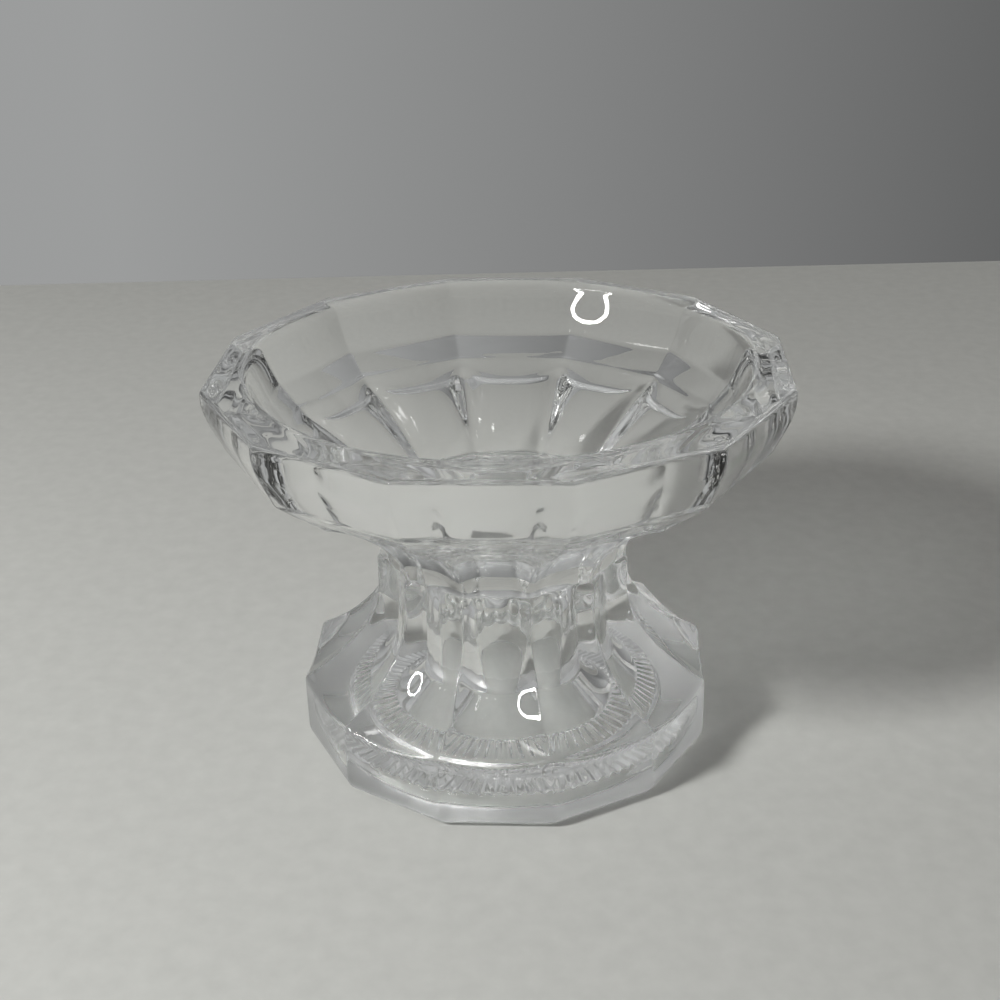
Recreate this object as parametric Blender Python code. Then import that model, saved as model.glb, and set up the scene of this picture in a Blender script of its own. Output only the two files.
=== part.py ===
"""A footed votive candle holder in clear pressed glass, with twelve sides and a fluted neck.

Metres, +Z up. The foot stands on the plane z = 0 and the middle of the neck is the Z axis. Two opposite
flats of each twelve-sided ring are square to X and two to Y, so the corners lie 15 degrees off the axes.
"""

import math

import bmesh
import bpy
from mathutils import Vector
from mathutils.geometry import interpolate_bezier

# Around the holder
SIDES = 12
STEPS_PER_SIDE = 6

# The foot, from the table up
FOOT_RADIUS = 0.0378
BASE_INSET = 0.0021
BASE_ROUNDING = 0.0032
BAND_HEIGHT = 0.0133
BAND_LIP = 0.0006
FOOT_SCALLOP = 0.0014
FLARE_HEIGHT = 0.0161
FLARE_FLUTE_DEPTH = 0.0020
FLARE_FOOT_PULL = 0.53
FLARE_RIDGE_PULLS = (0.23, 0.36)
FLARE_HOLLOW_PULLS = (0.16, 0.42)

# The hollow under the foot
RECESS_RADIUS = 0.0252
LEDGE_RADIUS = 0.0250
LEDGE_HEIGHT = 0.0022
RIBS_INNER_RADIUS = 0.0190
RIBS_INNER_HEIGHT = 0.0036
SKIRT_REACH = 0.0030
SKIRT_RISE = 0.0010
SKIRT_START = 0.0015
SKIRT_PULL = 0.0015
WAIST_RADIUS = 0.0113
WAIST_HEIGHT = 0.0098
CROWN_RADIUS = 0.0050
CROWN_REACH = 0.95
CROWN_DROP = 0.10
CROWN_GLASS = 0.0015

# The neck, where the two pressings are joined
NECK_RADIUS = 0.0233
NECK_FLUTE_DEPTH = 0.0011
NECK_BELOW_JOINT = 0.0036
NECK_ABOVE_JOINT = 0.0016
BOND_THICKNESS = 0.0006
BOND_INSET = 0.0003
CLEARANCE = 0.0003

# The bowl, from the neck up
COVE_HEIGHT = 0.0155
EDGE_RADIUS = 0.0406
ARCH_RADIUS = 0.0348
ARCH_RISE = 0.0013
LIP_RADIUS = 0.0361
LIP_RISE = 0.0007
FLUTE_POWER = 3.4
COVE_PULL = 0.0056
EDGE_PULL = 0.42
RIDGE_LEAN = math.radians(67.0)
HOLLOW_LEAN = math.radians(64.0)
TIER_LIP = 0.0001
TIER_HEIGHT = 0.0039
TIER_WAIST = 0.0424
TIER_RADIUS = 0.0431
BEVEL_HEIGHT = 0.0036
BEVEL_RADIUS = 0.0474
SHOULDER_LEAN = math.radians(25.0)
SHOULDER_HEIGHT = 0.0099
SHOULDER_PULL = 0.45
SHOULDER_TOP_PULL = 0.30
RIM_RADIUS = 0.0510
RIM_BAND = 0.0014
RIM_ROUNDING = 0.0005
RIM_RISE = 0.0009
CREST_INSET = 0.0012

# The inside of the bowl
OPENING_RADIUS = 0.0429
MOUTH_DROP = 0.0005
MOUTH_ROLL = 0.0003
MOUTH_ROLL_DROP = 0.0002
MOUTH_LEAN = math.radians(23.0)
MOUTH_PULL = 0.38
WALL_PULL = 0.58
WALL_LEAN = math.radians(38.0)
KINK_RADIUS = 0.0353
KINK_DEPTH = 0.0129
WELL_LEAN = math.radians(58.0)
CUP_DEPTH = 0.0250
FLOOR_RADIUS = 0.0160
WELL_PULL = 0.45

# The plain sides, the shading and the glass
PLAIN_POWER = 2.0
SHARP_TURN = math.radians(24.0)
GLASS_IOR = 1.52

CORNER = math.pi / SIDES
FLAT = math.cos(CORNER)

# Heights of the joints between the stretches
FLARE_TOP = BAND_HEIGHT + BAND_LIP + FLARE_HEIGHT
FOOT_TOP = FLARE_TOP + NECK_BELOW_JOINT
RECESS_HEIGHT = FOOT_TOP - CROWN_GLASS
BOND_BASE = FOOT_TOP + CLEARANCE
BOWL_BASE = BOND_BASE + BOND_THICKNESS + CLEARANCE
COVE_BASE = BOWL_BASE + NECK_ABOVE_JOINT
EDGE_BASE = COVE_BASE + COVE_HEIGHT
TIER_TOP = EDGE_BASE + TIER_HEIGHT
BEVEL_TOP = TIER_TOP + BEVEL_HEIGHT
RIM_BASE = BEVEL_TOP + SHOULDER_HEIGHT
RIM_TOP = RIM_BASE + RIM_BAND + RIM_ROUNDING + RIM_RISE


def clear_scene():
    for thing in list(bpy.data.objects):
        bpy.data.objects.remove(thing, do_unlink=True)


def glass(name, tint, roughness):
    material = bpy.data.materials.new(name)
    material.use_nodes = True
    shader = material.node_tree.nodes["Principled BSDF"]
    shader.inputs["Base Color"].default_value = (*tint, 1.0)
    shader.inputs["Roughness"].default_value = roughness
    shader.inputs["Metallic"].default_value = 0.0
    shader.inputs["IOR"].default_value = GLASS_IOR
    shader.inputs["Transmission Weight"].default_value = 1.0
    return material


def bend(start, first_pull, last_pull, end, steps):
    """A smooth stretch of an outline, as (radius, height) points, without its first point."""
    points = interpolate_bezier(Vector(start), Vector(first_pull), Vector(last_pull), Vector(end), steps + 1)
    return [tuple(point) for point in points][1:]


def leaning(point, lean, length):
    """The point that lies below another by a length, along a wall that leans inward from upright."""
    return point[0] - length * math.sin(lean), point[1] - length * math.cos(lean)


def fluted(ridges, hollows, power=PLAIN_POWER):
    """Rings whose corners follow one outline and whose middles follow another."""
    return [(*ridge, *hollow, power) for ridge, hollow in zip(ridges, hollows)]


def flat_sided(outline):
    """Rings with flat sides between the corners."""
    return [(radius, height, radius * FLAT, height, PLAIN_POWER) for radius, height in outline]


def round_rings(outline):
    return [(radius, height, radius, height, PLAIN_POWER) for radius, height in outline]


def ring_points(ring):
    ridge_radius, ridge_height, hollow_radius, hollow_height, power = ring
    points = []
    for index in range(SIDES * STEPS_PER_SIDE):
        across = 2.0 * (index % STEPS_PER_SIDE) / STEPS_PER_SIDE - 1.0
        hollow = 1.0 - abs(across) ** power
        radius = ridge_radius + (hollow_radius - ridge_radius) * hollow
        height = ridge_height + (hollow_height - ridge_height) * hollow
        angle = CORNER + 2.0 * CORNER * index / STEPS_PER_SIDE
        points.append((radius * math.cos(angle), radius * math.sin(angle), height))
    return points


def turned_body(name, rings, first_height, last_height, material):
    """A closed body through rings, shut by a fan of faces at each end."""
    mesh = bpy.data.meshes.new(name)
    body = bmesh.new()
    loops = [[body.verts.new(point) for point in ring_points(ring)] for ring in rings]
    count = len(loops[0])
    for low, high in zip(loops, loops[1:]):
        for index in range(count):
            after = (index + 1) % count
            body.faces.new((low[index], low[after], high[after], high[index]))
    for loop, height in ((loops[0], first_height), (loops[-1], last_height)):
        pole = body.verts.new((0.0, 0.0, height))
        for index in range(count):
            body.faces.new((pole, loop[index], loop[(index + 1) % count]))
    bmesh.ops.recalc_face_normals(body, faces=body.faces)
    body.to_mesh(mesh)
    body.free()
    mesh.materials.append(material)
    mesh.shade_smooth()
    mesh.set_sharp_from_angle(angle=SHARP_TURN)
    thing = bpy.data.objects.new(name, mesh)
    bpy.context.collection.objects.link(thing)
    return thing


def neck_ring(height, inset=0.0):
    ridge = NECK_RADIUS - inset
    return ridge, height, ridge * FLAT - NECK_FLUTE_DEPTH, height, PLAIN_POWER


def foot_rings():
    lip = BAND_HEIGHT + BAND_LIP
    base = [(FOOT_RADIUS - BASE_INSET, 0.0)]
    base += bend(base[0], (FOOT_RADIUS - 0.3 * BASE_INSET, 0.25 * BASE_ROUNDING),
                 (FOOT_RADIUS, 0.6 * BASE_ROUNDING), (FOOT_RADIUS, BASE_ROUNDING), 4)
    ridge_lip = (FOOT_RADIUS - 0.5 * BAND_LIP, lip)
    hollow_lip = (ridge_lip[0] * FLAT, lip - FOOT_SCALLOP)
    band = [(FOOT_RADIUS, BAND_HEIGHT, FOOT_RADIUS * FLAT, BAND_HEIGHT - FOOT_SCALLOP, PLAIN_POWER)]
    neck = neck_ring(FLARE_TOP)
    reach = FOOT_RADIUS - NECK_RADIUS
    low_pull, high_pull = FLARE_RIDGE_PULLS
    ridge = [ridge_lip] + bend(ridge_lip, (FOOT_RADIUS - FLARE_FOOT_PULL * reach,
                                           lip + low_pull * FLARE_HEIGHT),
                               (NECK_RADIUS, FLARE_TOP - high_pull * FLARE_HEIGHT), neck[:2], 9)
    deep_reach = hollow_lip[0] - neck[2]
    low_pull, high_pull = FLARE_HOLLOW_PULLS
    hollow = [hollow_lip] + bend(hollow_lip, (hollow_lip[0] - FLARE_FOOT_PULL * deep_reach,
                                              lip + low_pull * FLARE_HEIGHT - FLARE_FLUTE_DEPTH),
                                 (neck[2], FLARE_TOP - high_pull * FLARE_HEIGHT), neck[2:4], 9)
    return flat_sided(base) + band + fluted(ridge, hollow) + [neck_ring(FOOT_TOP)]


def recess_rings():
    """The hollow under the foot, from its top down to the bearing ring."""
    waist = (WAIST_RADIUS, WAIST_HEIGHT)
    dome = [(CROWN_RADIUS, RECESS_HEIGHT)]
    dome += bend(dome[-1], (CROWN_RADIUS + CROWN_REACH * (WAIST_RADIUS - CROWN_RADIUS), RECESS_HEIGHT),
                 (WAIST_RADIUS, RECESS_HEIGHT - CROWN_DROP * (RECESS_HEIGHT - WAIST_HEIGHT)), waist, 6)
    inner = (RIBS_INNER_RADIUS, RIBS_INNER_HEIGHT)
    skirt = bend(waist, (WAIST_RADIUS + SKIRT_START, WAIST_HEIGHT - SKIRT_PULL),
                 (inner[0] - SKIRT_REACH, inner[1] + SKIRT_RISE), inner, 6)
    return round_rings(dome + skirt + [(LEDGE_RADIUS, LEDGE_HEIGHT), (RECESS_RADIUS, 0.0)])


def build_foot(material):
    rings = recess_rings() + foot_rings()
    return turned_body("foot", rings, RECESS_HEIGHT, FOOT_TOP, material)


def build_bond(material):
    rings = [neck_ring(BOND_BASE, BOND_INSET), neck_ring(BOND_BASE + BOND_THICKNESS, BOND_INSET)]
    return turned_body("bond", rings, BOND_BASE, BOND_BASE + BOND_THICKNESS, material)


def bowl_outside():
    start = neck_ring(COVE_BASE)
    edge = (EDGE_RADIUS, EDGE_BASE)
    arch = (ARCH_RADIUS, EDGE_BASE + ARCH_RISE)
    pull = EDGE_PULL * (EDGE_RADIUS - NECK_RADIUS) / math.sin(RIDGE_LEAN)
    ridge = bend(start[:2], (start[0], COVE_BASE + COVE_PULL), leaning(edge, RIDGE_LEAN, pull), edge, 10)
    hollow = bend(start[2:4], (start[2], COVE_BASE + COVE_PULL), leaning(arch, HOLLOW_LEAN, pull), arch, 10)
    tier = [(0.5 * (EDGE_RADIUS + TIER_WAIST), 0.5 * (EDGE_BASE + TIER_TOP), LIP_RADIUS, EDGE_BASE + LIP_RISE,
             FLUTE_POWER),
            (TIER_WAIST, TIER_TOP, (TIER_RADIUS - TIER_LIP) * FLAT, TIER_TOP - TIER_LIP, PLAIN_POWER)]
    shoulder = [(TIER_RADIUS, TIER_TOP), (BEVEL_RADIUS, BEVEL_TOP)]
    shoulder += bend(shoulder[-1], leaning(shoulder[-1], SHOULDER_LEAN, -SHOULDER_PULL * SHOULDER_HEIGHT),
                     (RIM_RADIUS, RIM_BASE - SHOULDER_TOP_PULL * SHOULDER_HEIGHT), (RIM_RADIUS, RIM_BASE), 7)
    return [neck_ring(BOWL_BASE), start] + fluted(ridge, hollow, FLUTE_POWER) + tier + flat_sided(shoulder)


def bowl_rim():
    edge = RIM_BASE + RIM_BAND
    outline = [(RIM_RADIUS, edge), (RIM_RADIUS - 0.3 * RIM_ROUNDING, edge + 0.7 * RIM_ROUNDING),
               (RIM_RADIUS - RIM_ROUNDING, edge + RIM_ROUNDING)]
    return flat_sided(outline) + round_rings([(OPENING_RADIUS + CREST_INSET, RIM_TOP)])


def bowl_inside():
    """The smooth inside: the wall from the rim to the kink, then the rounded well down to the flat floor."""
    floor = RIM_TOP - CUP_DEPTH
    roll = (OPENING_RADIUS + MOUTH_ROLL, RIM_TOP - MOUTH_ROLL_DROP)
    mouth = (OPENING_RADIUS, RIM_TOP - MOUTH_DROP)
    kink = (KINK_RADIUS, RIM_TOP - KINK_DEPTH)
    wall = bend(mouth, leaning(mouth, MOUTH_LEAN, MOUTH_PULL * KINK_DEPTH),
                leaning(kink, WALL_LEAN, -WALL_PULL * KINK_DEPTH), kink, 6)
    drop = kink[1] - floor
    well = bend(kink, leaning(kink, WELL_LEAN, WELL_PULL * drop / math.cos(WELL_LEAN)),
                (FLOOR_RADIUS + WELL_PULL * drop, floor), (FLOOR_RADIUS, floor), 8)
    return round_rings([roll, mouth] + wall + well)


def build_bowl(material):
    rings = bowl_outside() + bowl_rim() + bowl_inside()
    return turned_body("bowl", rings, BOWL_BASE, RIM_TOP - CUP_DEPTH, material)


def main():
    clear_scene()
    clear_glass = glass("clear glass", (0.93, 0.94, 0.94), 0.02)
    clear_bond = glass("clear bond", (0.95, 0.95, 0.94), 0.05)
    build_foot(clear_glass)
    build_bond(clear_bond)
    build_bowl(clear_glass)


main()
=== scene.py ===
"""The looks of the footed candle holder: clear pressed glass on a pale table, lit from the front left.

Metres, +Z up, in the model's own frame. The glass follows the model's outline with finer steps and rounded
edges, and adds the ribs and the ground ring under the foot. The bowl, the bond and the foot meet without
walls between them, because the light passes from one to the next.
"""

import math

import bpy
from mathutils import Matrix, Vector, noise
from mathutils.geometry import interpolate_bezier


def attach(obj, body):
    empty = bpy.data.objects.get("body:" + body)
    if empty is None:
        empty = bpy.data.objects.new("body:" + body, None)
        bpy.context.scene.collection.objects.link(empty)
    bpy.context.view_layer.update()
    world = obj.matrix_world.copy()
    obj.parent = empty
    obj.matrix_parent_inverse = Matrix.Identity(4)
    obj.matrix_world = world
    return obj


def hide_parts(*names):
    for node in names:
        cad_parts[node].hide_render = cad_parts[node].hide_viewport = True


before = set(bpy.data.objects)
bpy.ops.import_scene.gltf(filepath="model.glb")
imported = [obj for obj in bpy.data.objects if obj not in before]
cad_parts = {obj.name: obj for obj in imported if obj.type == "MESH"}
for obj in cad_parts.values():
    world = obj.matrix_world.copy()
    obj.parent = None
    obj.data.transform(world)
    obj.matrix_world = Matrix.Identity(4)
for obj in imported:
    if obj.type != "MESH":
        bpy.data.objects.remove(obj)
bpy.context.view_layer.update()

# Around the holder
SIDES = 12
STEPS_PER_SIDE = 48
CORNER = math.pi / SIDES
FLAT = math.cos(CORNER)
CORNER_CLUSTERING = 0.75
CORNER_ROUNDING = 0.00030
COVE_ROUNDING = 0.00120
LEAST_RADIUS = 0.001

# Along the outline
FINE_STEP = 0.00005
EDGE_ROUNDING = 0.00050
SHORTEST_STEP = 0.00015
LONGEST_STEP = 0.00080
TURN_PER_STEP = math.radians(2.0)
STEP_GROWTH = 0.20
BEND_STEPS = 40
LEAST_TURN = 1e-6
LEAST_WAY = 1e-9
SLACK = 1e-12

# The foot, from the table up
FOOT_RADIUS = 0.0378
BASE_INSET = 0.0021
BASE_ROUNDING = 0.0032
BASE_INSET_PULL = 0.3
BASE_PULLS = (0.25, 0.6)
BAND_HEIGHT = 0.0133
BAND_LIP = 0.0006
FOOT_SCALLOP = 0.0014
FLARE_HEIGHT = 0.0161
FLARE_FLUTE_DEPTH = 0.0020
FLARE_FOOT_PULL = 0.53
FLARE_RIDGE_PULLS = (0.23, 0.36)
FLARE_HOLLOW_PULLS = (0.16, 0.42)

# The hollow under the foot
RECESS_RADIUS = 0.0252
LEDGE_RADIUS = 0.0250
LEDGE_HEIGHT = 0.0022
RIBS_INNER_RADIUS = 0.0190
RIBS_INNER_HEIGHT = 0.0036
SKIRT_REACH = 0.0030
SKIRT_RISE = 0.0010
SKIRT_START = 0.0015
SKIRT_PULL = 0.0015
WAIST_RADIUS = 0.0113
WAIST_HEIGHT = 0.0098
CROWN_RADIUS = 0.0050
CROWN_REACH = 0.95
CROWN_DROP = 0.10
RECESS_HEIGHT = 0.0321

# The ground ring that the foot stands on
GROUND_HEIGHT = 0.0004
GROUND_ROUGHNESS = 0.45

# The moulded ribs on the ring between the hollow and the ledge
RIBS = 66
RIB_DEPTH = 0.00040
RIB_FADE = 0.0006
RIBS_HEADROOM = 0.0020

# The neck
NECK_RADIUS = 0.0233
NECK_FLUTE_DEPTH = 0.0011
FLARE_TOP = BAND_HEIGHT + BAND_LIP + FLARE_HEIGHT
BOND_BASE = 0.0337
BOND_TOP = 0.0347
COVE_BASE = 0.0364

# The bowl, from the neck up
COVE_HEIGHT = 0.0155
EDGE_RADIUS = 0.0406
ARCH_RADIUS = 0.0348
ARCH_RISE = 0.0013
LIP_RADIUS = 0.0361
LIP_RISE = 0.0007
FLUTE_POWER = 3.4
COVE_PULL = 0.0056
EDGE_PULL = 0.42
RIDGE_LEAN = math.radians(67.0)
HOLLOW_LEAN = math.radians(64.0)
TIER_LIP = 0.0001
TIER_HEIGHT = 0.0039
TIER_WAIST = 0.0424
TIER_RADIUS = 0.0431
BEVEL_HEIGHT = 0.0036
BEVEL_RADIUS = 0.0474
SHOULDER_LEAN = math.radians(25.0)
SHOULDER_HEIGHT = 0.0099
SHOULDER_PULL = 0.45
SHOULDER_TOP_PULL = 0.30
RIM_RADIUS = 0.0510
RIM_BAND = 0.0014
RIM_ROUNDING = 0.0005
RIM_ROUND_MIDDLE = (0.3, 0.7)
RIM_RISE = 0.0009
CREST_INSET = 0.0012
EDGE_BASE = COVE_BASE + COVE_HEIGHT
TIER_TOP = EDGE_BASE + TIER_HEIGHT
BEVEL_TOP = TIER_TOP + BEVEL_HEIGHT
RIM_BASE = BEVEL_TOP + SHOULDER_HEIGHT
RIM_TOP = RIM_BASE + RIM_BAND + RIM_ROUNDING + RIM_RISE

# The inside of the bowl
OPENING_RADIUS = 0.0429
MOUTH_DROP = 0.0005
MOUTH_ROLL = 0.0003
MOUTH_ROLL_DROP = 0.0002
MOUTH_LEAN = math.radians(23.0)
MOUTH_PULL = 0.38
WALL_PULL = 0.58
WALL_LEAN = math.radians(38.0)
KINK_RADIUS = 0.0353
KINK_DEPTH = 0.0129
WELL_LEAN = math.radians(58.0)
CUP_DEPTH = 0.0250
FLOOR_RADIUS = 0.0160
WELL_PULL = 0.45
AXIS_HOLE = 0.0002

# The slight unevenness that a mould and a fire polish leave, none of it at the axis
WAVE_LENGTH = 0.011
WAVE_HEIGHT = 0.000020
WAVE_FADE = 0.004

# The shapes of the sides between two corners
FLAT_SIDE = 1.0
CURVED_SIDE = 0.0
PLAIN_POWER = 2.0

# The glass: its tint drifts, faint smears dull it and the mould left fine ripples
GLASS_IOR = 1.52
GLASS_TINTS = ((0.975, 0.983, 0.978), (0.990, 0.994, 0.990))
GLASS_SMUDGE = 0.03
BOND_TINTS = ((0.980, 0.984, 0.976), (0.990, 0.992, 0.986))
BOND_SMUDGE = 0.05
DRIFT_SCALE = 28.0
DRIFT_DETAIL = 2.0
DRIFT_RANGE = (0.35, 0.65)
SMEAR_SCALE = 90.0
SMEAR_DETAIL = 3.0
SMEAR_RANGE = (0.50, 0.80)
RIPPLE_SCALE = 220.0
RIPPLE_DETAIL = 1.0
RIPPLE_STRENGTH = 0.25
RIPPLE_DEPTH = 0.00004

# The camera
HEADING = math.radians(-3.6906)
PITCH = math.radians(25.4277)
ROLL = math.radians(1.4009)
EYE = Vector((0.015174, -0.242211, 0.160309))
AHEAD = Vector((math.sin(HEADING), math.cos(HEADING), 0.0))
LEVEL = Vector((math.cos(HEADING), -math.sin(HEADING), 0.0))
LENS = 54.0
SENSOR_WIDTH = 36.0
NEAREST = 0.01

# The table, whose far edge is straight across the view
TABLE_TONES = ((0.572, 0.580, 0.556), (0.622, 0.630, 0.604))
TABLE_ROUGHNESS = 0.62
TABLE_GLOSS = 0.2
FLECK_SCALE = 260.0
FLECK_DETAIL = 4.0
FLECK_RANGE = (0.25, 0.75)
TABLE_TOP = -0.0003
TABLE_REACH = 0.531
TABLE_SIDEWAYS = 3.0
TABLE_NEARWARD = 5.0

# The room: a grey backdrop with painted shade that darkens it to the right and painted light above and far
# right, and an even light on all that is not glass
BACKDROP_PAINTED_SHADE_TONES = (0.335, 0.115)
BACKDROP_SPREAD = 0.30
BACKDROP_TINT = (0.985, 1.0, 1.0)
OVERHEAD_PAINTED_LIGHT = 0.20
RIGHT_SIDE_REACH = (0.40, 0.80)
RIGHT_SIDE_PAINTED_LIGHT = 0.21
ROOM_LIGHT = (0.217, 0.212, 0.206)

# The ring-shaped lamp to the front left, which shows as small bright rings in the glass
LAMP_AZIMUTH = math.radians(-139.0)
LAMP_ELEVATION = math.radians(38.0)
LAMP_DISTANCE = 0.70
LAMP_RADIUS = 0.108
LAMP_WIDTH = 0.0216
LAMP_STEPS = 48
LAMP_COLOUR = (1.0, 0.995, 0.985)
LAMP_GLOW = 46.0
KEY_POWER = 3.95
KEY_SIZE = 0.13

# How often light is followed through glass and off it
GLASS_BOUNCES = 24
GLOSS_BOUNCES = 8


def bend(start, first_pull, last_pull, end):
    """A smooth stretch of an outline, as (radius, height) points, without its first point."""
    points = interpolate_bezier(Vector(start), Vector(first_pull), Vector(last_pull), Vector(end),
                                BEND_STEPS + 1)
    return [tuple(point) for point in points][1:]


def leaning(point, lean, length):
    """The point that lies below another by a length, along a wall that leans inward from upright."""
    return point[0] - length * math.sin(lean), point[1] - length * math.cos(lean)


def fluted(ridges, hollows, power=PLAIN_POWER):
    """Rings whose corners follow one outline and whose middles follow another."""
    return [(*ridge, *hollow, power, CURVED_SIDE) for ridge, hollow in zip(ridges, hollows)]


def flat_sided(outline):
    """Rings with flat sides between the corners."""
    return [(radius, height, radius * FLAT, height, PLAIN_POWER, FLAT_SIDE) for radius, height in outline]


def round_rings(outline):
    return [(radius, height, radius, height, PLAIN_POWER, CURVED_SIDE) for radius, height in outline]


def neck_ring(height):
    return NECK_RADIUS, height, NECK_RADIUS * FLAT - NECK_FLUTE_DEPTH, height, PLAIN_POWER, CURVED_SIDE


def recess_rings():
    """The hollow under the foot, from its top down to the bearing ring."""
    waist = (WAIST_RADIUS, WAIST_HEIGHT)
    dome = [(AXIS_HOLE, RECESS_HEIGHT), (CROWN_RADIUS, RECESS_HEIGHT)]
    dome += bend(dome[-1], (CROWN_RADIUS + CROWN_REACH * (WAIST_RADIUS - CROWN_RADIUS), RECESS_HEIGHT),
                 (WAIST_RADIUS, RECESS_HEIGHT - CROWN_DROP * (RECESS_HEIGHT - WAIST_HEIGHT)), waist)
    inner = (RIBS_INNER_RADIUS, RIBS_INNER_HEIGHT)
    skirt = bend(waist, (WAIST_RADIUS + SKIRT_START, WAIST_HEIGHT - SKIRT_PULL),
                 (inner[0] - SKIRT_REACH, inner[1] + SKIRT_RISE), inner)
    return round_rings(dome + skirt + [(LEDGE_RADIUS, LEDGE_HEIGHT), (RECESS_RADIUS, 0.0)])


def foot_rings():
    """The outside of the foot, from the bearing ring up to the neck."""
    lip = BAND_HEIGHT + BAND_LIP
    base = [(FOOT_RADIUS - BASE_INSET, 0.0)]
    low_pull, high_pull = BASE_PULLS
    base += bend(base[0], (FOOT_RADIUS - BASE_INSET_PULL * BASE_INSET, low_pull * BASE_ROUNDING),
                 (FOOT_RADIUS, high_pull * BASE_ROUNDING), (FOOT_RADIUS, BASE_ROUNDING))
    ridge_lip = (FOOT_RADIUS - 0.5 * BAND_LIP, lip)
    hollow_lip = (ridge_lip[0] * FLAT, lip - FOOT_SCALLOP)
    band = [(FOOT_RADIUS, BAND_HEIGHT, FOOT_RADIUS * FLAT, BAND_HEIGHT - FOOT_SCALLOP,
             PLAIN_POWER, FLAT_SIDE)]
    neck = neck_ring(FLARE_TOP)
    reach = FOOT_RADIUS - NECK_RADIUS
    low_pull, high_pull = FLARE_RIDGE_PULLS
    ridge = [ridge_lip]
    ridge += bend(ridge_lip, (FOOT_RADIUS - FLARE_FOOT_PULL * reach, lip + low_pull * FLARE_HEIGHT),
                  (NECK_RADIUS, FLARE_TOP - high_pull * FLARE_HEIGHT), neck[:2])
    deep_reach = hollow_lip[0] - neck[2]
    low_pull, high_pull = FLARE_HOLLOW_PULLS
    hollow = [hollow_lip]
    hollow += bend(hollow_lip, (hollow_lip[0] - FLARE_FOOT_PULL * deep_reach,
                                lip + low_pull * FLARE_HEIGHT - FLARE_FLUTE_DEPTH),
                   (neck[2], FLARE_TOP - high_pull * FLARE_HEIGHT), neck[2:4])
    return flat_sided(base) + band + fluted(ridge, hollow)


def bowl_outside():
    start = neck_ring(COVE_BASE)
    edge = (EDGE_RADIUS, EDGE_BASE)
    arch = (ARCH_RADIUS, EDGE_BASE + ARCH_RISE)
    pull = EDGE_PULL * (EDGE_RADIUS - NECK_RADIUS) / math.sin(RIDGE_LEAN)
    ridge = bend(start[:2], (start[0], COVE_BASE + COVE_PULL), leaning(edge, RIDGE_LEAN, pull), edge)
    hollow = bend(start[2:4], (start[2], COVE_BASE + COVE_PULL), leaning(arch, HOLLOW_LEAN, pull), arch)
    tier = [(0.5 * (EDGE_RADIUS + TIER_WAIST), 0.5 * (EDGE_BASE + TIER_TOP),
             LIP_RADIUS, EDGE_BASE + LIP_RISE, FLUTE_POWER, CURVED_SIDE),
            (TIER_WAIST, TIER_TOP, (TIER_RADIUS - TIER_LIP) * FLAT, TIER_TOP - TIER_LIP,
             PLAIN_POWER, FLAT_SIDE)]
    shoulder = [(TIER_RADIUS, TIER_TOP), (BEVEL_RADIUS, BEVEL_TOP)]
    shoulder += bend(shoulder[-1], leaning(shoulder[-1], SHOULDER_LEAN, -SHOULDER_PULL * SHOULDER_HEIGHT),
                     (RIM_RADIUS, RIM_BASE - SHOULDER_TOP_PULL * SHOULDER_HEIGHT), (RIM_RADIUS, RIM_BASE))
    return [start] + fluted(ridge, hollow, FLUTE_POWER) + tier + flat_sided(shoulder)


def bowl_rim():
    edge = RIM_BASE + RIM_BAND
    inward, upward = RIM_ROUND_MIDDLE
    outline = [(RIM_RADIUS, edge), (RIM_RADIUS - inward * RIM_ROUNDING, edge + upward * RIM_ROUNDING),
               (RIM_RADIUS - RIM_ROUNDING, edge + RIM_ROUNDING)]
    return flat_sided(outline) + round_rings([(OPENING_RADIUS + CREST_INSET, RIM_TOP)])


def bowl_inside():
    """The smooth inside: the wall from the rim to the kink, then the rounded well down to the flat floor."""
    floor = RIM_TOP - CUP_DEPTH
    roll = (OPENING_RADIUS + MOUTH_ROLL, RIM_TOP - MOUTH_ROLL_DROP)
    mouth = (OPENING_RADIUS, RIM_TOP - MOUTH_DROP)
    kink = (KINK_RADIUS, RIM_TOP - KINK_DEPTH)
    wall = bend(mouth, leaning(mouth, MOUTH_LEAN, MOUTH_PULL * KINK_DEPTH),
                leaning(kink, WALL_LEAN, -WALL_PULL * KINK_DEPTH), kink)
    drop = kink[1] - floor
    well = bend(kink, leaning(kink, WELL_LEAN, WELL_PULL * drop / math.cos(WELL_LEAN)),
                (FLOOR_RADIUS + WELL_PULL * drop, floor), (FLOOR_RADIUS, floor))
    return round_rings([roll, mouth] + wall + well + [(AXIS_HOLE, floor)])


def mixed(first, second, share):
    return tuple(one + (other - one) * share for one, other in zip(first, second))


def evenly_spaced(rings, step):
    """The same outline with its rings a step apart."""
    spaced = [rings[0]]
    for first, second in zip(rings, rings[1:]):
        length = max(math.hypot(second[0] - first[0], second[1] - first[1]),
                     math.hypot(second[2] - first[2], second[3] - first[3]))
        pieces = max(1, math.ceil(length / step))
        spaced += [mixed(first, second, piece / pieces) for piece in range(1, pieces + 1)]
    return spaced


def softened(rings, reach):
    """Edges rounded by a running mean over the rings within reach, twice."""
    for _ in range(2):
        run = [0.0]
        for first, second in zip(rings, rings[1:]):
            run.append(run[-1] + math.hypot(second[0] - first[0], second[1] - first[1]) + LEAST_WAY)
        smooth = []
        low = 0
        high = 0
        for index, place in enumerate(run):
            near = min(reach, place, run[-1] - place)
            while run[low] < place - near - SLACK:
                low += 1
            while high + 1 < len(run) and run[high + 1] <= place + near + SLACK:
                high += 1
            count = high - low + 1
            window = rings[low:high + 1]
            mean = tuple(sum(ring[item] for ring in window) / count for item in range(4))
            smooth.append((*mean, *rings[index][4:]))
        rings = smooth
    return rings


def slant(first, second, item):
    return math.atan2(second[item + 1] - first[item + 1], second[item] - first[item])


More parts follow.
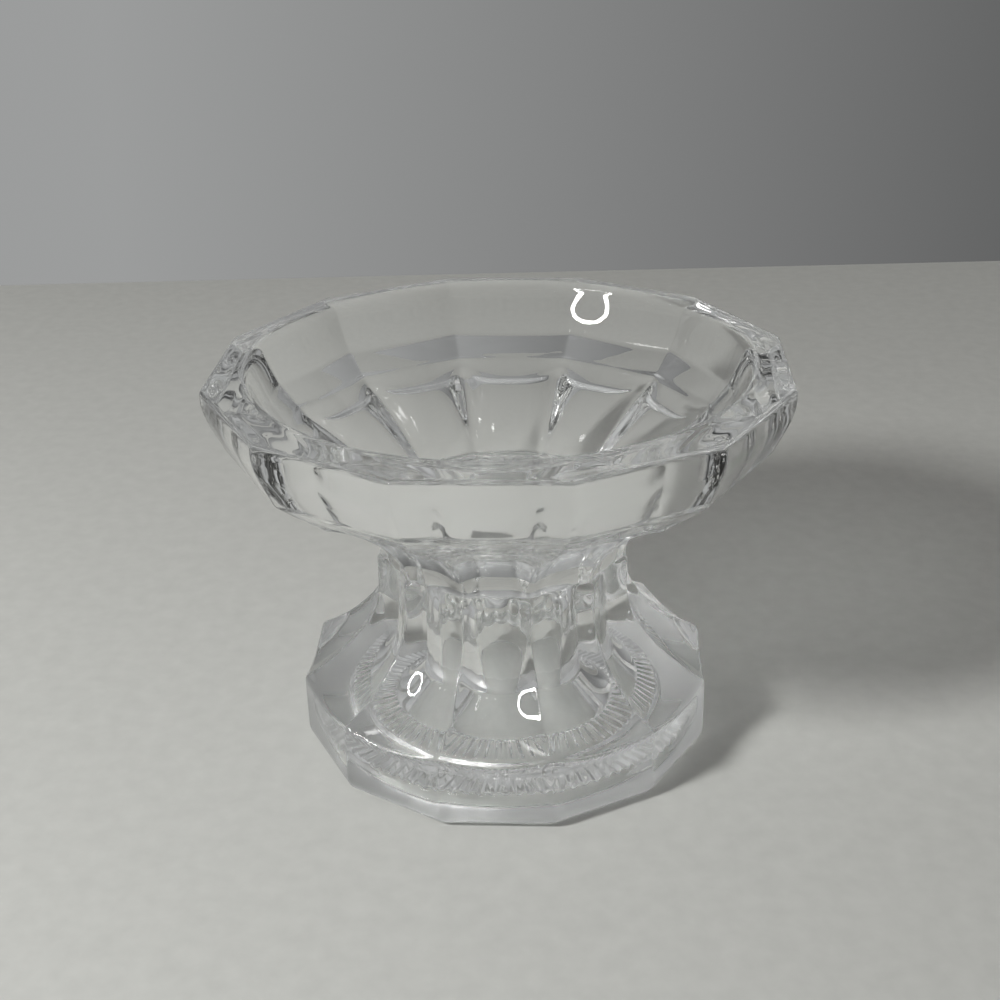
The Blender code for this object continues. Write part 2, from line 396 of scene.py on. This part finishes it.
def turning(before, ring, after):
    """The sharper turn of the ridge's and the hollow's outline at a ring, and the way to the next one."""
    turn = max(abs(math.remainder(slant(before, ring, item) - slant(ring, after, item), 2.0 * math.pi))
               for item in (0, 2))
    return turn, math.hypot(after[0] - ring[0], after[1] - ring[1]) + LEAST_WAY


def thinned(rings):
    """Keeps rings whose steps shorten gently towards each bend and grow gently away from it."""
    turns = [turning(*trio) for trio in zip(rings, rings[1:], rings[2:])]
    way = [turns[0][1]] + [length for _, length in turns]
    wanted = [TURN_PER_STEP * length / max(turn, LEAST_TURN) for turn, length in turns]
    steps = [LONGEST_STEP, *[min(LONGEST_STEP, max(SHORTEST_STEP, step)) for step in wanted], LONGEST_STEP]
    for index in range(1, len(steps)):
        steps[index] = min(steps[index], steps[index - 1] + STEP_GROWTH * way[index - 1])
    for index in range(len(steps) - 2, -1, -1):
        steps[index] = min(steps[index], steps[index + 1] + STEP_GROWTH * way[index])
    kept = [rings[0]]
    run = 0.0
    for ring, step, length in zip(rings[1:], steps[1:], way[1:]):
        run += length / step
        if run >= 1.0:
            kept.append(ring)
            run = 0.0
    return kept


def around():
    """The angle of each step round the holder, closer at the corners, and its place across its side."""
    places = []
    for side in range(SIDES):
        for step in range(STEPS_PER_SIDE):
            even = 2.0 * step / STEPS_PER_SIDE - 1.0
            across = even + CORNER_CLUSTERING * (math.sin(0.5 * math.pi * even) - even)
            angle = CORNER + 2.0 * CORNER * (side + 0.5 * (across + 1.0))
            places.append((angle, across))
    return places


def hollow_share(across, ridge_radius, power, flatness):
    """How far a point across a side has moved from the ridge's outline to the hollow's."""
    in_cove = (power - PLAIN_POWER) / (FLUTE_POWER - PLAIN_POWER)
    rounding = CORNER_ROUNDING + (COVE_ROUNDING - CORNER_ROUNDING) * in_cove
    rounding /= max(ridge_radius, LEAST_RADIUS) * CORNER
    from_corner = math.hypot(1.0 - abs(across), rounding) / math.hypot(1.0, rounding)
    place = 1.0 - from_corner
    flat = (1.0 - FLAT / math.cos(place * CORNER)) / (1.0 - FLAT)
    curved = 1.0 - place ** power
    return curved + (flat - curved) * flatness


def rib_rise(angle, radius, height):
    """How far the grooves between the ribs under the foot stand up from their ring."""
    if not RIBS_INNER_RADIUS < radius < LEDGE_RADIUS or height > LEDGE_HEIGHT + RIBS_HEADROOM:
        return 0.0
    fade = min(1.0, (radius - RIBS_INNER_RADIUS) / RIB_FADE, (LEDGE_RADIUS - radius) / RIB_FADE)
    return RIB_DEPTH * fade * (0.5 - 0.5 * math.cos(RIBS * angle))


def surface_points(rings):
    points = []
    for ridge_radius, ridge_height, hollow_radius, hollow_height, power, flatness in rings:
        for angle, across in AROUND:
            share = hollow_share(across, ridge_radius, power, flatness)
            radius = ridge_radius + (hollow_radius - ridge_radius) * share
            height = ridge_height + (hollow_height - ridge_height) * share
            height += rib_rise(angle, radius, height)
            point = Vector((radius * math.cos(angle), radius * math.sin(angle), height))
            wave = noise.noise(point / WAVE_LENGTH) * WAVE_HEIGHT * min(1.0, radius / WAVE_FADE)
            outward = Vector((math.cos(angle), math.sin(angle), 0.0))
            points.append(point + outward * wave)
    return points


def mesh_object(name, points, faces, material):
    mesh = bpy.data.meshes.new(name)
    mesh.from_pydata(points, [], faces)
    mesh.materials.append(material)
    thing = bpy.data.objects.new(name, mesh)
    bpy.context.scene.collection.objects.link(thing)
    return thing


def glass_body(name, rings, material, closed_start=False, closed_end=False):
    """An open wall through rings. A closed end gets one small face across the axis."""
    count = len(AROUND)
    faces = []
    for row in range(len(rings) - 1):
        for index in range(count):
            after = (index + 1) % count
            low = row * count
            faces.append((low + index, low + after, low + count + after, low + count + index))
    if closed_start:
        faces.append(tuple(reversed(range(count))))
    if closed_end:
        last = (len(rings) - 1) * count
        faces.append(tuple(range(last, last + count)))
    thing = mesh_object(name, surface_points(rings), faces, material)
    thing.data.shade_smooth()
    return thing


def node(tree, kind, **values):
    made = tree.nodes.new(kind)
    for name, value in values.items():
        setattr(made, name, value)
    return made


def mapped(tree, source, before, after):
    """A value moved from one range to another."""
    levels = node(tree, "ShaderNodeMapRange")
    levels.inputs["From Min"].default_value = before[0]
    levels.inputs["From Max"].default_value = before[1]
    levels.inputs["To Min"].default_value = after[0]
    levels.inputs["To Max"].default_value = after[1]
    tree.links.new(source, levels.inputs["Value"])
    return levels.outputs["Result"]


def combined(tree, operation, first, second):
    """A value worked out from two others."""
    maths = node(tree, "ShaderNodeMath", operation=operation)
    tree.links.new(first, maths.inputs[0])
    tree.links.new(second, maths.inputs[1])
    return maths.outputs["Value"]


def grain(tree, place, scale, detail):
    texture = node(tree, "ShaderNodeTexNoise")
    texture.inputs["Scale"].default_value = scale
    texture.inputs["Detail"].default_value = detail
    tree.links.new(place, texture.inputs["Vector"])
    return texture.outputs["Fac"]


def toned(tree, source, positions, colours):
    """A colour between two others, by a value."""
    ramp = node(tree, "ShaderNodeValToRGB")
    for element, position, colour in zip(ramp.color_ramp.elements, positions, colours):
        element.position = position
        element.color = (*colour, 1.0)
    tree.links.new(source, ramp.inputs["Fac"])
    return ramp.outputs["Color"]


def new_material(name):
    material = bpy.data.materials.new(name)
    material.use_nodes = True
    return material, material.node_tree, material.node_tree.nodes["Principled BSDF"]


def glass_material(name, tints, smudge):
    """Clear glass, faintly tinted, smudged and rippled, and rough on the ground ring."""
    material, tree, shader = new_material(name)
    shader.inputs["IOR"].default_value = GLASS_IOR
    shader.inputs["Transmission Weight"].default_value = 1.0
    place = node(tree, "ShaderNodeTexCoord").outputs["Object"]
    drift = grain(tree, place, DRIFT_SCALE, DRIFT_DETAIL)
    tree.links.new(toned(tree, drift, DRIFT_RANGE, tints), shader.inputs["Base Color"])
    smears = mapped(tree, grain(tree, place, SMEAR_SCALE, SMEAR_DETAIL), SMEAR_RANGE, (0.0, smudge))
    parts = node(tree, "ShaderNodeSeparateXYZ")
    tree.links.new(place, parts.inputs["Vector"])
    ground = mapped(tree, parts.outputs["Z"], (GROUND_HEIGHT, 0.5 * GROUND_HEIGHT), (0.0, GROUND_ROUGHNESS))
    tree.links.new(combined(tree, "MAXIMUM", smears, ground), shader.inputs["Roughness"])
    ripples = node(tree, "ShaderNodeBump")
    ripples.inputs["Strength"].default_value = RIPPLE_STRENGTH
    ripples.inputs["Distance"].default_value = RIPPLE_DEPTH
    tree.links.new(grain(tree, place, RIPPLE_SCALE, RIPPLE_DETAIL), ripples.inputs["Height"])
    tree.links.new(ripples.outputs["Normal"], shader.inputs["Normal"])
    return material


def table_material():
    material, tree, shader = new_material("table_paint")
    shader.inputs["Roughness"].default_value = TABLE_ROUGHNESS
    shader.inputs["Specular IOR Level"].default_value = TABLE_GLOSS
    place = node(tree, "ShaderNodeTexCoord").outputs["Object"]
    flecks = grain(tree, place, FLECK_SCALE, FLECK_DETAIL)
    tree.links.new(toned(tree, flecks, FLECK_RANGE, TABLE_TONES), shader.inputs["Base Color"])
    return material


def lamp_material():
    material, _, shader = new_material("lamp_glow")
    shader.inputs["Base Color"].default_value = (0.0, 0.0, 0.0, 1.0)
    shader.inputs["Emission Color"].default_value = (*LAMP_COLOUR, 1.0)
    shader.inputs["Emission Strength"].default_value = LAMP_GLOW
    return material


def cut_at_bond():
    """The rings of the foot, the bond and the bowl."""
    outline = recess_rings() + foot_rings() + bowl_outside() + bowl_rim() + bowl_inside()
    outline = softened(evenly_spaced(outline, FINE_STEP), EDGE_ROUNDING)
    on_neck = [index for index, ring in enumerate(outline)
               if FLARE_TOP < ring[1] < COVE_BASE and ring[0] > WAIST_RADIUS]
    foot_part = thinned(outline[:on_neck[0]]) + [neck_ring(BOND_BASE)]
    bond_part = [neck_ring(BOND_BASE), neck_ring(0.5 * (BOND_BASE + BOND_TOP)), neck_ring(BOND_TOP)]
    bowl_part = [neck_ring(BOND_TOP)] + thinned(outline[on_neck[-1] + 1:]) + [outline[-1]]
    return foot_part, bond_part, bowl_part


def dress_holder():
    foot_part, bond_part, bowl_part = cut_at_bond()
    clear_glass = glass_material("clear_glass", GLASS_TINTS, GLASS_SMUDGE)
    clear_bond = glass_material("clear_bond", BOND_TINTS, BOND_SMUDGE)
    foot_glass = glass_body("foot_glass", foot_part, clear_glass, closed_start=True)
    bond_glass = glass_body("bond_glass", bond_part, clear_bond)
    bowl_glass = glass_body("bowl_glass", bowl_part, clear_glass, closed_end=True)
    for piece, cad_node, slot in ((foot_glass, "foot", "clear_glass"), (bond_glass, "bond", "clear_bond"),
                                  (bowl_glass, "bowl", "clear_glass")):
        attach(piece, "root")
        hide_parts(cad_node)


def set_camera():
    forward = AHEAD * math.cos(PITCH) - Vector((0.0, 0.0, math.sin(PITCH)))
    above = LEVEL.cross(forward)
    right = math.cos(ROLL) * LEVEL - math.sin(ROLL) * above
    up = math.sin(ROLL) * LEVEL + math.cos(ROLL) * above
    data = bpy.data.cameras.new("camera")
    data.lens = LENS
    data.sensor_width = SENSOR_WIDTH
    data.clip_start = NEAREST
    camera = bpy.data.objects.new("camera", data)
    bpy.context.scene.collection.objects.link(camera)
    place = Matrix((right, up, -forward)).transposed().to_4x4()
    place.translation = EYE
    camera.matrix_world = place
    bpy.context.scene.camera = camera


def set_table():
    edge_middle = Vector((EYE.x, EYE.y, TABLE_TOP)) + AHEAD * TABLE_REACH
    sideways = LEVEL * TABLE_SIDEWAYS
    nearward = AHEAD * -TABLE_NEARWARD
    corners = [edge_middle - sideways + nearward, edge_middle + sideways + nearward,
               edge_middle + sideways, edge_middle - sideways]
    mesh_object("table", corners, [(0, 1, 2, 3)], table_material())


def set_room():
    """The backdrop, with its painted shade and painted light, shows to the camera, in gloss and through
    glass. All else gets the even light.
    """
    world = bpy.data.worlds.new("room")
    bpy.context.scene.world = world
    world.use_nodes = True
    tree = world.node_tree
    room_light = tree.nodes["Background"]
    room_light.inputs["Color"].default_value = (*ROOM_LIGHT, 1.0)
    way = node(tree, "ShaderNodeSeparateXYZ")
    tree.links.new(node(tree, "ShaderNodeTexCoord").outputs["Generated"], way.inputs["Vector"])
    # painted shade: the backdrop darkens from left to right, away from the light on the left
    across = mapped(tree, way.outputs["X"], (-BACKDROP_SPREAD, BACKDROP_SPREAD), BACKDROP_PAINTED_SHADE_TONES)
    # painted light: brighter overhead and far to the right, seen only by the camera, in gloss and through
    # glass
    painted_overhead_light = mapped(tree, way.outputs["Z"], (0.0, 1.0), (0.0, OVERHEAD_PAINTED_LIGHT))
    painted_right_light = mapped(tree, way.outputs["X"], RIGHT_SIDE_REACH, (0.0, RIGHT_SIDE_PAINTED_LIGHT))
    backdrop_with_painted_shade = node(tree, "ShaderNodeBackground")
    backdrop_with_painted_shade.inputs["Color"].default_value = (*BACKDROP_TINT, 1.0)
    painted_shade_and_light = combined(tree, "ADD", combined(tree, "ADD", across, painted_overhead_light), painted_right_light)
    tree.links.new(painted_shade_and_light, backdrop_with_painted_shade.inputs["Strength"])
    paths = node(tree, "ShaderNodeLightPath")
    mirrored = combined(tree, "MAXIMUM", paths.outputs["Is Camera Ray"], paths.outputs["Is Glossy Ray"])
    seen = combined(tree, "MAXIMUM", mirrored, paths.outputs["Is Transmission Ray"])
    choice = node(tree, "ShaderNodeMixShader")
    tree.links.new(seen, choice.inputs["Fac"])
    tree.links.new(room_light.outputs[0], choice.inputs[1])
    tree.links.new(backdrop_with_painted_shade.outputs[0], choice.inputs[2])
    tree.links.new(choice.outputs[0], tree.nodes["World Output"].inputs["Surface"])


def set_lamp():
    """A glowing ring that shows in the glass, and a disc of light at the same place."""
    way = Vector((math.cos(LAMP_ELEVATION) * math.cos(LAMP_AZIMUTH),
                  math.cos(LAMP_ELEVATION) * math.sin(LAMP_AZIMUTH), math.sin(LAMP_ELEVATION)))
    turns = [2.0 * math.pi * step / LAMP_STEPS for step in range(LAMP_STEPS)]
    points = [(radius * math.cos(turn), radius * math.sin(turn), 0.0)
              for turn in turns for radius in (LAMP_RADIUS, LAMP_RADIUS - LAMP_WIDTH)]
    faces = []
    for step in range(LAMP_STEPS):
        here = 2 * step
        after = 2 * ((step + 1) % LAMP_STEPS)
        faces.append((here, here + 1, after + 1, after))
    ring = mesh_object("ring_lamp", points, faces, lamp_material())
    ring.location = way * LAMP_DISTANCE
    ring.rotation_euler = (-way).to_track_quat("-Z", "Y").to_euler()
    ring.visible_diffuse = False
    ring.visible_shadow = False
    data = bpy.data.lights.new("key", "AREA")
    data.shape = "DISK"
    data.size = KEY_SIZE
    data.energy = KEY_POWER
    data.color = LAMP_COLOUR
    key = bpy.data.objects.new("key", data)
    bpy.context.scene.collection.objects.link(key)
    key.location = ring.location
    key.rotation_euler = ring.rotation_euler
    key.visible_glossy = False


AROUND = around()
dress_holder()
set_camera()
set_table()
set_room()
set_lamp()

scene = bpy.context.scene
scene.view_settings.view_transform = "Standard"
scene.cycles.max_bounces = GLASS_BOUNCES
scene.cycles.transmission_bounces = GLASS_BOUNCES
scene.cycles.glossy_bounces = GLOSS_BOUNCES
